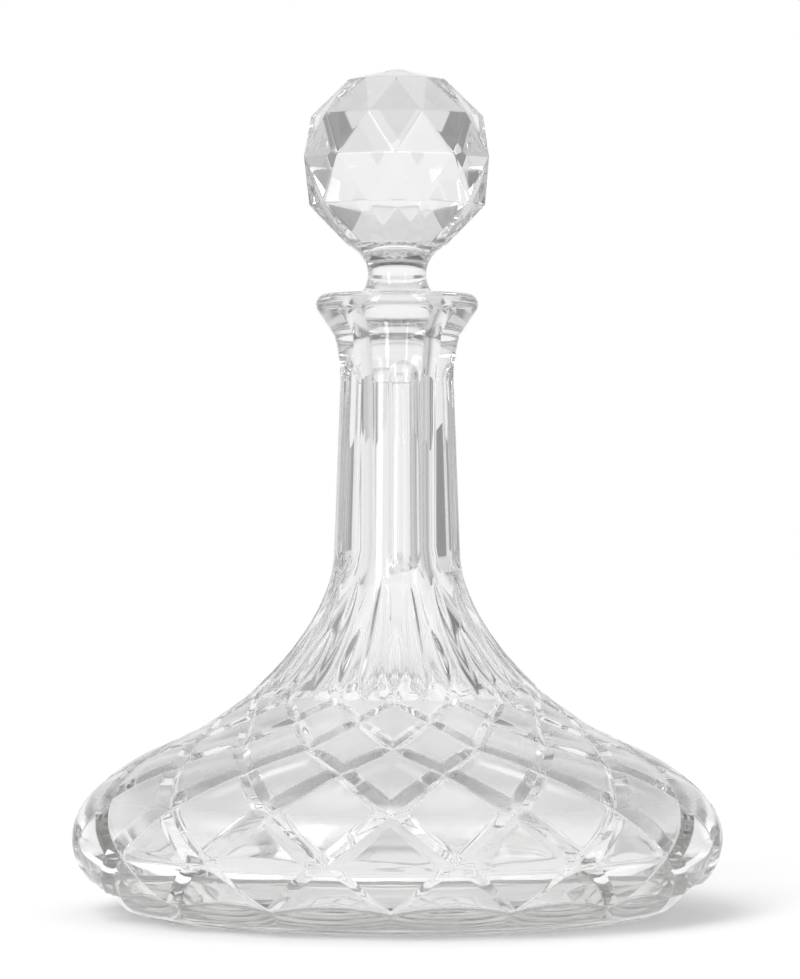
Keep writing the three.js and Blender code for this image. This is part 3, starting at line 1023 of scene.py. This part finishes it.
    def surface(self) -> TurnedGrid:
        """Whole stopper as one grid: the turned stem, the belts of facets, the crown and its flat.

        The stem's columns stand at the angles of the lowest belt's. In that belt each place keeps
        the lesser of its own radius and the flare's, so that the facets end in scallops.

        Returns:
            The closed grid.
        """
        close = self.spacing()
        scallop = self.scallop_climb
        above = scallop + (1.0 - scallop) * close[len(self.edge_shares) - 1:]
        low_climb = np.concatenate([np.linspace(0.0, scallop, self.scallop_steps + 1)[:-1], above])
        belts = [self.belt(0, low_climb)]
        belts += [self.belt(ring, close)[1:] for ring in range(1, len(self.ring_radii) - 1)]
        crown = belts[-1][-1]
        scale = self.table_radius / self.ring_radii[-1]
        table = crown * np.array([scale, scale, 0.0])
        table[:, 2] = self.ring_heights[-1] + self.table_rise
        share = close[1:, None, None]
        top = crown * (1 - share) + table * share
        tip = np.broadcast_to(table.mean(axis=0), (1, *table.shape))
        ball = self.round_edges(np.concatenate([*belts, top, tip]))
        stem = self.stem()
        across = np.hypot(ball[..., 0], ball[..., 1])
        beyond = 2 * self.flare_radius
        edge = stem[-self.flare_steps:]
        flare = np.interp(ball[..., 2], edge[:, 1], edge[:, 0], right=beyond)
        kept = soft_least(across, flare, self.flare_blur) / np.maximum(across, self.flare_blur)
        ball = ball * np.stack([kept, kept, np.ones_like(kept)], axis=-1)
        turn = np.arctan2(ball[0, :, 0], -ball[0, :, 1])
        below = stem[stem[:, 1] < ball[0, :, 2].min() - self.flare_blur]
        points = np.concatenate([turn_round(below[:, :1], below[:, 1:], turn), ball])
        return TurnedGrid(points, np.zeros(points.shape[:2]))


# Studio


@dataclass(frozen=True)
class Softbox:
    """A bright soft-edged patch of the studio, seen in the glass.

    Attributes:
        bearing: Middle of the patch in degrees, from +Y towards +X.
        half_width: Half its width in degrees.
        low: Its lower edge in degrees above the horizon.
        high: Its upper edge.
        strength: Brightness that it adds.
    """

    bearing: float
    half_width: float
    low: float
    high: float
    strength: float


@dataclass
class Studio:
    """Floor, light and camera round the decanter, in metres and degrees.

    The camera stands level, as far off and as high as the photograph's: its distance, height and
    focal length in pixels were worked out from the rings of the decanter.
    """

    camera_distance: float = 1.4
    camera_height: float = 0.1304
    camera_turn: float = 1.1
    camera_side_step: float = 0.0009
    focal_pixels: float = 4525.0
    sensor: float = 36.0
    floor_size: float = 12.0
    floor_gap: float = 0.0002
    floor: FloorFinish = FloorFinish()
    sun_energy: float = 1.6
    sun_spread: float = 36.0
    sun_bearing: float = -138.0
    sun_height: float = 56.0
    edge_blur: float = 4.0
    round_stops: Stops = (
        (-180.0, 0.2), (-105.0, 0.7), (-50.0, 0.9), (-20.0, 0.98), (20.0, 0.98), (36.0, 0.94), (50.0, 0.65),
        (58.0, 0.42), (68.0, 0.65), (105.0, 0.7), (180.0, 0.2))
    climb_stops: Stops = (
        (-90.0, 1.0), (22.0, 1.0), (30.0, 0.6), (36.0, 0.42), (60.0, 0.42), (90.0, 0.6))
    softboxes: tuple[Softbox, ...] = (
        Softbox(-148.0, 5.0, -15.0, 45.0, 6.0),
        Softbox(146.0, 3.0, -15.0, 40.0, 3.0),
        Softbox(180.0, 85.0, 32.0, 56.0, 0.8),
        Softbox(0.0, 88.0, 58.0, 92.0, 1.0),
        Softbox(0.0, 36.0, 29.0, 58.0, 0.35),
    )

    def build(self) -> None:
        """Makes the floor, the surrounding light, the sun and the camera."""
        self.lay_floor()
        self.light_room()
        self.hang_sun()
        self.place_camera()

    def lay_floor(self) -> None:
        """Lays the floor: one flat square a hair below the foot."""
        half, z = self.floor_size / 2, -self.floor_gap
        corner = np.array([(-half, -half, z), (half, -half, z), (half, half, z), (-half, half, z)])
        mesh = bpy.data.meshes.new("floor")
        mesh.from_pydata(corner.tolist(), [], [(0, 1, 2, 3)])
        mesh.materials.append(self.floor.material())
        floor = add_to_scene("floor", mesh)

    def light_room(self) -> None:
        """Lights the room that the glass sees: bright behind, dimmer to the sides and up, dark in front.

        Softboxes stand beside the camera and hang above. What the camera sees straight is plain white.
        """
        world = bpy.data.worlds.new("studio")
        bpy.context.scene.world = world
        nodes = ShaderNodes.of(world)
        way = nodes.add("TexCoord").outputs["Generated"]
        upward = nodes.add("SeparateXYZ", Vector=way).outputs["Z"]
        bearing = nodes.bearing(way)
        climb = nodes.calculate("DEGREES", nodes.calculate("ARCSINE", upward))
        total = nodes.calculate("MULTIPLY", nodes.ramp(bearing, self.round_stops),
                                nodes.ramp(climb, self.climb_stops))
        for box in self.softboxes:
            off = nodes.calculate("WRAP", nodes.calculate("SUBTRACT", bearing, box.bearing), 180.0, -180.0)
            above = nodes.calculate("SUBTRACT", climb, (box.low + box.high) / 2)
            share = nodes.calculate("MULTIPLY", nodes.window(off, box.half_width, self.edge_blur),
                                    nodes.window(above, (box.high - box.low) / 2, self.edge_blur))
            total = nodes.calculate("MULTIPLY_ADD", share, box.strength, total)
        seen = nodes.any_ray(RayKind.CAMERA)
        dimmed = nodes.calculate("MULTIPLY", total, nodes.calculate("SUBTRACT", 1.0, seen))
        light = nodes.add("Background", Color=(1.0, 1.0, 1.0, 1.0),
                          Strength=nodes.calculate("ADD", dimmed, seen))
        nodes.add("OutputWorld", Surface=light.outputs[0])

    def hang_sun(self) -> None:
        """Hangs one soft lamp to the front left, which lights the floor and throws the shadow."""
        data = bpy.data.lights.new("soft_lamp", "SUN")
        data.energy = self.sun_energy
        data.angle = math.radians(self.sun_spread)
        lamp = add_to_scene("soft_lamp", data)
        tilt = math.radians(90.0 - self.sun_height)
        lamp.rotation_euler = (-tilt, 0.0, -math.radians(self.sun_bearing))
        lamp.visible_glossy = False
        lamp.visible_transmission = False

    def place_camera(self) -> None:
        """Places the camera as the photograph's, turned a little and a hair to the side of the axis."""
        data = bpy.data.cameras.new("camera")
        data.sensor_width = self.sensor
        data.lens = self.focal_pixels * self.sensor / max(IMAGE_WIDTH, IMAGE_HEIGHT)
        camera = add_to_scene("camera", data)
        turn = math.radians(self.camera_turn)
        back = np.array([math.sin(turn), -math.cos(turn)])
        right = np.array([math.cos(turn), math.sin(turn)])
        place = self.camera_distance * back + self.camera_side_step * right
        camera.location = (place[0], place[1], self.camera_height)
        camera.rotation_euler = (math.pi / 2, 0.0, turn)
        bpy.context.scene.camera = camera


def set_light_paths() -> None:
    """Lets light cross the many walls of the glass, and shows colours as they are written."""
    bounces = 24
    scene = bpy.context.scene
    scene.view_settings.view_transform = "Standard"
    scene.cycles.max_bounces = bounces
    scene.cycles.transmission_bounces = bounces
    scene.cycles.glossy_bounces = bounces


def main() -> None:
    """Builds and logs the decanter's two pieces, then builds the studio round them."""
    logging.basicConfig(level=logging.INFO, format="%(name)s: %(message)s")
    lip_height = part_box("vessel")[1].z / METRES_PER_MM
    mouth = Mouth(height=lip_height)
    set_light_paths()
    pressed = GlassFinish("pressed_glass", depth_strength=14.0)
    cut = GlassFinish("cut_glass", depth_strength=6.0)
    pieces = (
        Vessel("vessel_wall", "vessel", "vessel_glass", pressed, Shading.MOULDED, mouth),
        Stopper("ball_stopper", "stopper", "stopper_glass", cut, Shading.CUT, mouth),
    )
    for piece in pieces:
        built = piece.build()
        log.info("%s: %d triangles", built.name, len(built.data.polygons))
    Studio().build()


if __name__ == "__main__":
    main()
